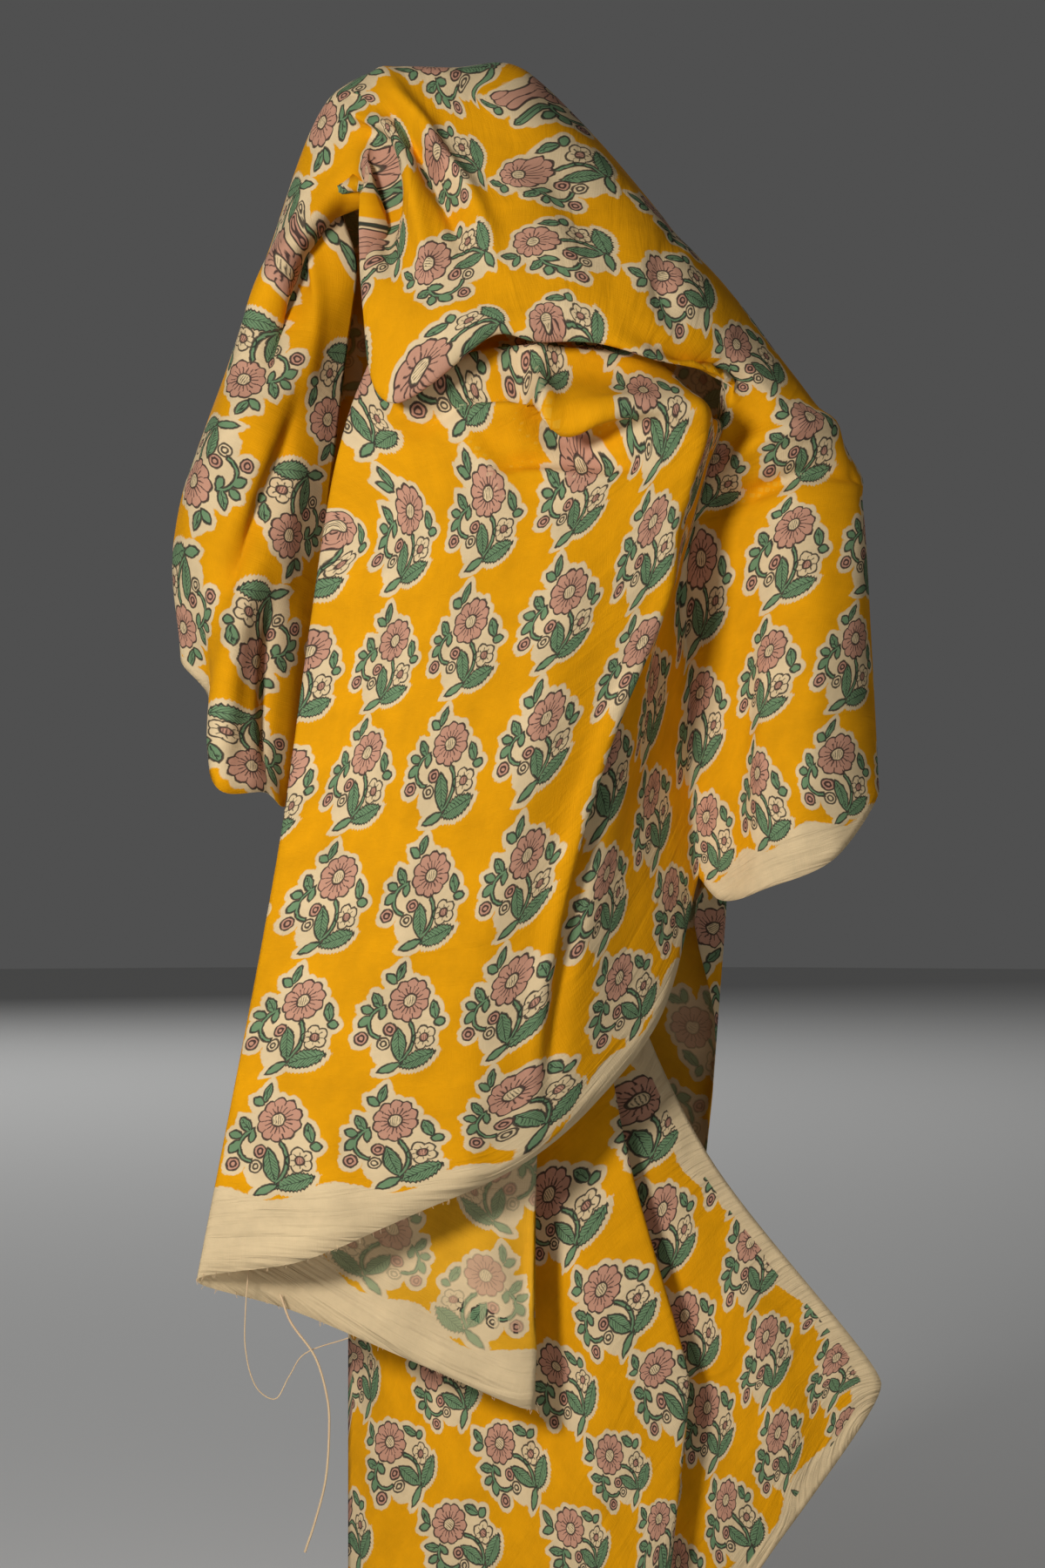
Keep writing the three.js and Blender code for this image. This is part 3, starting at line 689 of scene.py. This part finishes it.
class Field:
    """A value of the cloth's shader. Arithmetic on it adds Math nodes, and node() adds any other."""

    def __init__(self, tree, socket=None):
        self.tree, self.socket = tree, socket

    def node(self, kind, settings=None, inputs=None, output=0):
        made = self.tree.nodes.new(kind)
        for name, value in (settings or {}).items():
            setattr(made, name, value)
        for name, value in (inputs or {}).items():
            if isinstance(value, Field):
                self.tree.links.new(value.socket, made.inputs[name])
            else:
                made.inputs[name].default_value = value
        return Field(self.tree, made.outputs[output])

    def math(self, operation, *others):
        return self.node("ShaderNodeMath", {"operation": operation}, dict(enumerate([self, *others])))

    def vector(self, operation, *others, output=0):
        inputs = dict(enumerate([self, *others]))
        return self.node("ShaderNodeVectorMath", {"operation": operation}, inputs, output)

    def __add__(self, other):
        return self.math("ADD", other)

    def __sub__(self, other):
        return self.math("SUBTRACT", other)

    def __rsub__(self, other):
        return self.node("ShaderNodeMath", {"operation": "SUBTRACT"}, {0: other, 1: self})

    def __mul__(self, other):
        return self.math("MULTIPLY", other)

    def __abs__(self):
        return self.math("ABSOLUTE")

    __radd__, __rmul__ = __add__, __mul__


def least(*fields):
    """The lowest of some values: distances joined to one shape."""
    return reduce(lambda one, other: one.math("MINIMUM", other), fields)


def most(*fields):
    """The highest of some values: the distance to what shapes have in common."""
    return reduce(lambda one, other: one.math("MAXIMUM", other), fields)


def away(place, middle):
    """How far a place is from a point."""
    return place.vector("DISTANCE", (*middle, 0), output="Value")


def across_up(place):
    """The two values of a place."""
    across = place.node("ShaderNodeSeparateXYZ", {}, {0: place})
    return across, Field(place.tree, across.socket.node.outputs[1])


def inked(distance, soft=0.2):
    """1 where a distance is below zero and 0 where it is above, with a soft edge."""
    return distance.node("ShaderNodeMapRange", {"clamp": True}, {
        "Value": distance, "From Min": -soft, "From Max": soft, "To Min": 1.0, "To Max": 0.0})


def noise(place, output=0, **settings):
    """Soft unevenness over a place."""
    return place.node("ShaderNodeTexNoise", {"noise_dimensions": "2D"}, {"Vector": place, **settings}, output)


def dyed(share, under, over):
    """One colour over another, by its share. A Mix node's colours are its inputs 6 and 7 and its output 2."""
    return share.node("ShaderNodeMix", {"data_type": "RGBA"}, {0: share, 6: under, 7: over}, 2)


def linear(dye, strength=1):
    """A dye as linear light, thinned towards the bare cloth."""
    thinned = [(strength * a + (1 - strength) * b) / 255 for a, b in zip(dyes[dye], dyes["cream"])]
    return (*(v / 12.92 if v < 0.0404 else ((v + 0.055) / 1.055) ** 2.4 for v in thinned), 1)


def leaf_of(place, leaf):
    """The distance to a pointed leaf, where two circles overlap, and the distance to its middle vein."""
    (x0, y0), (x1, y1), width = leaf
    length, half = math.dist((x0, y0), (x1, y1)), width / 2
    radius = (length**2 / 4 + half**2) / (2 * half)
    aside = (radius - half) / length
    x, y = (x0 + x1) / 2, (y0 + y1) / 2
    one, two = (away(place, (x - (y1 - y0) * side, y + (x1 - x0) * side)) for side in (aside, -aside))
    return most(one, two) - radius, abs(one - two)


def flower_of(place, middle, radius, notch, heart, lobes):
    """The distance to a lobed flower's edge and to its heart, and to the lines between and on its petals."""
    across, up = across_up(place.vector("SUBTRACT", (*middle, 0)))
    out = away(place, middle)
    turn = up.math("ARCTAN2", across)
    wave = abs((turn * (lobes / 2)).math("SINE"))
    edge = out - radius + (1 - wave) * notch
    strokes = abs((turn * (lobes - 1)).math("SINE"))
    between = most(out * wave * (2 / lobes) - petal_line, radius * petals_part_from - out, edge)
    on_petals = most(out * strokes * (1 / (lobes - 1)) - stroke_line, (heart + strokes_from) - out,
                     out - radius * strokes_end_at)
    heart_strokes = abs((across * heart_waves).math("SINE")) * heart_stroke_depth - heart_line
    in_heart = most(heart_strokes, out - heart * heart_strokes_end_at)
    return edge, out - heart, least(between, on_petals, in_heart)


def stem_of(place, middle, radius, cut):
    """The distance to a bent stem, cut off by the straight line between its ends."""
    across, up = across_up(place)
    beyond = across * cut[0] + up * cut[1] + cut[2]
    return most(abs(away(place, middle) - radius) - stem_half_width, beyond)


def finish(name, roughness):
    """A new material and its shader."""
    material = bpy.data.materials.new(name)
    material.use_nodes = True
    shader = material.node_tree.nodes["Principled BSDF"]
    shader.inputs["Roughness"].default_value = roughness
    return material, shader


def printed_cloth(name, line, fill, ground, roughness):
    """Cloth with the bouquets: how strong its lines, its fills and its ground are on this side."""
    material, shader = finish(name, roughness)
    weave = Field(material.node_tree)
    flat_at = weave.node("ShaderNodeUVMap", {"uv_map": "print"}).vector("MULTIPLY", (1000, 1000, 0))
    wander = noise(flat_at, "Color", Scale=0.3, Detail=2.0).vector("SUBTRACT", (0.5, 0.5, 0.5))
    uneven, _ = across_up(wander)
    cell = flat_at.vector("SUBTRACT", (0, plain_margin, 0)).vector("DIVIDE", (column_pitch, row_pitch, 1))
    slip = weave.node("ShaderNodeTexWhiteNoise", {}, {"Vector": cell.vector("FLOOR")}, "Color")
    slip = slip.vector("SUBTRACT", (0.5, 0.5, 0.5)).vector("MULTIPLY", (block_slip, block_slip, 0))
    place = cell.vector("FRACTION").vector("MULTIPLY", (column_pitch, row_pitch, 0))
    place = place.vector("SUBTRACT", (column_pitch / 2 + bouquet_at[0], row_pitch / 2 + bouquet_at[1], 0))
    place = place.vector("ADD", slip).vector("ADD", wander.vector("MULTIPLY", (edge_wander, edge_wander, 0)))
    across, up = across_up(place)

    leaf_edges, lines = [], []
    for title, leaf in leaves.items():
        edge, vein = leaf_of(place, leaf)
        if title == "serrated leaf":
            edge = edge + abs((across * serration_waves).math("SINE")) * serration_depth
        if title in veined:
            run = up if "stem" in title else across
            side_veins = abs((run * vein_waves + vein * vein_slant).math("SINE")) * side_vein_depth
            vein_edge = least(vein - vein_half_width, side_veins - side_vein_line)
            lines.append(most(vein_edge, edge + vein_inset))
        leaf_edges.append(edge)
    leaf_edge = least(*leaf_edges, *(stem_of(place, *stem) for stem in stems.values()))
    big_edge, big_heart, big_lines = flower_of(place, **big_flower)
    small_edge, small_heart, small_lines = flower_of(place, **small_flower)
    bud_edge = least(*(away(place, middle) - radius for middle, radius in buds.values()))
    rosette_edge = away(place, rosette[0]) - rosette[1]
    outlines = [leaf_edge, big_edge, small_edge, bud_edge, bud_edge + bud_ring, rosette_edge,
                rosette_edge + rosette_ring, small_heart, big_heart]
    drawn = least(*(abs(edge) for edge in outlines)) - line_width / 2
    drawn = least(drawn, *lines, big_lines, small_lines) + uneven * uneven_by["lines"]
    bouquet = least(leaf_edge, big_edge, small_edge, bud_edge, rosette_edge)
    bouquet = least(bouquet, *(away(place, middle) - radius for middle, radius in bare_inside.values()))

    hem_place = weave.node("ShaderNodeUVMap", {"uv_map": "hem"}).vector("MULTIPLY", (1000, 1000, 0))
    hem_along, hem_up = across_up(hem_place)
    scallop = (hem_along * (2 * math.pi / column_pitch)).math("COSINE") * margin_wave
    inside = hem_up - margin_up - scallop + uneven * uneven_by["margin"]
    yellow = inked(most(halo_width - bouquet + uneven * uneven_by["ground"], inside * -1), ground_softness)
    in_print = inked(most(inside * -1 - block_overrun, plain_margin - hem_up), ground_softness)

    patches = noise(flat_at, Scale=0.035, Detail=4.0, Roughness=0.6)
    color = dyed(yellow, linear("cream"), linear("mustard", ground))
    green = leaf_edge + green_short + uneven * uneven_by["green"]
    color = dyed(inked(green) * in_print, color, linear("green", fill))
    pink = least(most(big_edge, big_heart * -1), bud_edge, small_heart) + uneven * uneven_by["pink"]
    color = dyed(inked(pink) * in_print, color, linear("pink", fill))
    color = dyed(inked(drawn) * in_print * line, color, linear("line"))
    shade = weave.node("ShaderNodeMapRange", {}, {"Value": patches, "From Min": 0.3, "From Max": 0.7,
                                                  "To Min": 0.9, "To Max": 1.06})
    color = weave.node("ShaderNodeVectorMath", {"operation": "SCALE"}, {0: color, "Scale": shade})
    weave.tree.links.new(color.socket, shader.inputs["Base Color"])
    shader.inputs["Specular IOR Level"].default_value = 0.12

    def relief(stretch, detail, distortion=0.0):
        """An uneven height, drawn out along the cloth or across it."""
        place = flat_at.vector("MULTIPLY", (*stretch, 0))
        return noise(place, Scale=1.0, Detail=detail, Distortion=distortion)

    height = (relief((0.09, 1.6), 2.0) + relief((1.6, 0.09), 2.0)) * thread_height
    height = height + relief((0.012, 0.07), 3.0, 0.4) * crease_height
    by_hem = inked(inside - gathers_in, gathers_fade)
    height = height + relief((0.015, 0.22), 2.0, 0.3) * by_hem * gather_height
    bump = weave.node("ShaderNodeBump", {}, {"Height": height, "Distance": 0.001, "Strength": 0.8})
    weave.tree.links.new(bump.socket, shader.inputs["Normal"])
    return material


# The printed side, and the other side, where the dyes show through more weakly.
mesh.materials.append(printed_cloth("printed_cotton", line=0.9, fill=1, ground=1, roughness=0.86))
mesh.materials.append(printed_cloth("printed_cotton_back", line=0.3, fill=0.6, ground=0.8, roughness=0.9))

# Loose threads: two ends of bare cotton yarn hang from the torn edge at the panel's lower left corner, and
# the edge itself is a little frayed. A thread is its radius and its path, [across, up, back] as it shows.
threads = {
    "thin": (0.35, [[-117, -687, -66], [-119, -712, -64], [-119, -736, -62], [-113, -757, -60],
                    [-102, -764, -58], [-94, -751, -55], [-85, -738, -52], [-60, -729, -46]]),
    "twisted": (0.65, [[-99, -704, -52], [-93, -720, -55], [-79, -740, -57], [-72, -764, -58],
                       [-71, -782, -58], [-73, -810, -58], [-79, -834, -57], [-85, -852, -56]]),
}
thread_steps, torn_from_row = 8, 40
fray_count, fray_length, fray_radius, fray_sides = 70, 3.2, 0.18, 3
fray_spread, fray_lean, fray_bend = 2, 1.5, 0.4
thread_mesh = bmesh.new()


def tube(path, radius, sides=6):
    """A thread of round section along a path of points in millimetres."""
    ahead = np.gradient(path, axis=0)
    ahead /= np.linalg.norm(ahead, axis=1)[:, None]
    across = np.cross(ahead, [0, 1, 0])
    across /= np.maximum(np.linalg.norm(across, axis=1), 1e-6)[:, None]
    out = np.cross(ahead, across)
    turns = 2 * math.pi * np.arange(sides) / sides
    rings = [[thread_mesh.verts.new((p + radius * (math.cos(t) * a + math.sin(t) * b)) * mm) for t in turns]
             for p, a, b in zip(path, across, out)]
    for one, two in zip(rings, rings[1:]):
        for k in range(sides):
            thread_mesh.faces.new((one[k], one[(k + 1) % sides], two[(k + 1) % sides], two[k]))
    thread_mesh.faces.new(rings[0][::-1])
    thread_mesh.faces.new(rings[-1])


for radius, path in threads.values():
    net = np.array([placed(point) for point in path])[:, None]
    tube(smoothed(net, [thread_steps] * (len(path) - 1))[:, 0], radius)
loose = np.random.default_rng(7)
torn_edge = points[np.isin(used, np.concatenate([panel_ids[torn_from_row:, 0], tail_ids[:1, 0]]))]
for _ in range(fray_count):
    start = torn_edge[loose.integers(len(torn_edge))] + [loose.uniform(-fray_spread, fray_spread), 0, 1]
    end = start + [loose.uniform(-fray_lean, fray_lean), loose.uniform(-1, 1),
                   -fray_length * loose.uniform(0.4, 1.1)]
    middle = (start + end) / 2 + loose.uniform(-fray_bend, fray_bend, 3)
    tube(np.array([start, middle, end]), fray_radius, fray_sides)
loose_mesh = bpy.data.meshes.new("loose_threads")
thread_mesh.to_mesh(loose_mesh)
thread_mesh.free()
loose_threads = linked("loose_threads", loose_mesh)
yarn, yarn_shader = finish("bare_cotton_yarn", 0.9)
yarn_at = Field(yarn.node_tree).node("ShaderNodeTexCoord", output="Object")
tint = yarn_at.node("ShaderNodeTexNoise", {}, {"Vector": yarn_at, "Scale": 60.0, "Detail": 2.0})
tint = dyed(tint, linear("cream"), linear("pink", 0.35))
yarn.node_tree.links.new(tint.socket, yarn_shader.inputs["Base Color"])
loose_mesh.materials.append(yarn)
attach(loose_threads, "root")

# Studio: a wide pale paper floor below the hanging cloth, with a small lamp in front at the left, a weak one
# in front at the right and a large one behind. All in metres.
floor_up, floor_reach, floor_sides = -0.96, 9, 64
floor_turns = [2 * math.pi * k / floor_sides for k in range(floor_sides)]
floor_edge = [(floor_reach * math.cos(turn), floor_reach * math.sin(turn), floor_up) for turn in floor_turns]
floor_mesh = bpy.data.meshes.new("studio_floor")
floor_mesh.from_pydata(floor_edge, [], [range(floor_sides)])
studio_floor = linked("studio_floor", floor_mesh)
paper, paper_shader = finish("pale_paper", 0.9)
paper_shader.inputs["Base Color"].default_value = (0.72, 0.72, 0.71, 1)
floor_mesh.materials.append(paper)


def lamp(name, place, aim, size, power):
    """A round soft lamp that looks at a point."""
    data = bpy.data.lights.new(name, "AREA")
    data.shape = "DISK"
    data.size = size
    data.energy = power
    made = linked(name, data)
    made.location = place
    made.rotation_euler = (Vector(aim) - Vector(place)).to_track_quat("-Z", "Y").to_euler()


lamp("key", (-0.62, -1.45, -0.05), aim=(0.04, 0, -0.45), size=0.3, power=19)
lamp("fill", (1.6, -1.9, 0.2), aim=(0.04, 0, -0.4), size=1.4, power=1.5)
lamp("back", (-1.6, 5.2, 2.6), aim=(0.04, 0, -0.4), size=4, power=100)
world = bpy.data.worlds.new("room")
world.use_nodes = True
background = world.node_tree.nodes["Background"]
background.inputs["Color"].default_value = (1, 1, 1, 1)
background.inputs["Strength"].default_value = 0.08
bpy.context.scene.world = world
bpy.context.scene.view_settings.view_transform = "Standard"
